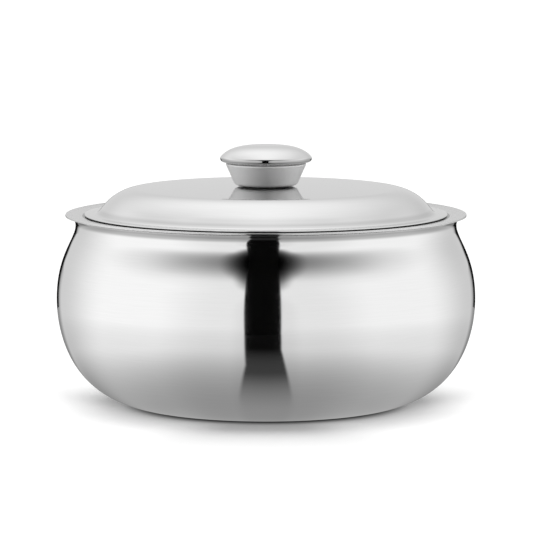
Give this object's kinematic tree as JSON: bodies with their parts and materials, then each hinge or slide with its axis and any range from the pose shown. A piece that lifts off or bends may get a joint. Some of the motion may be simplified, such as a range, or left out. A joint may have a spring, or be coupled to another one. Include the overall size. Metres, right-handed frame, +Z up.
{
  "type": "insulated casserole",
  "caption": "Round double-walled steel casserole for keeping flat breads warm, with a foam-filled lift-off lid and a mushroom-shaped knob.",
  "frame": {"origin": "centre of the ring that the pot stands on, at table height", "axes": "+Z up along the axis that every piece is turned about; X and Y lie in the table's plane"},
  "size_m": [0.2394, 0.2394, 0.1496],
  "materials": {
    "polished_shell": "polished",
    "polished_bowl": "satin",
    "base_steel": "satin",
    "polished_lid": "polished",
    "liner_steel": "satin",
    "polished_knob": "polished",
    "plated_hardware": "satin",
    "gasket_rubber": "matte",
    "plug_plastic": "matte",
    "rigid_foam": "matte"
  },
  "bodies": {
    "pot": {"outer_shell": "polished_shell", "inner_bowl": "polished_bowl", "pot_insulation": "rigid_foam", "base_cover": "base_steel", "pot_fill_plug": "plug_plastic"},
    "lid": {"lid_cover": "polished_lid", "lid_liner": "liner_steel", "lid_insulation": "rigid_foam", "lid_fill_plug": "plug_plastic", "knob_cap": "polished_knob", "knob_cup": "polished_knob", "knob_nut": "plated_hardware", "knob_gasket": "gasket_rubber", "knob_backing_washer": "plated_hardware", "knob_spring_washer": "plated_hardware", "knob_screw": "plated_hardware"}
  },
  "joints": [
    {"name": "lid_lift", "type": "slide", "parent": "pot", "child": "lid", "axis": [0, 0, 1], "range_m": [0, 0.12]}
  ]
}
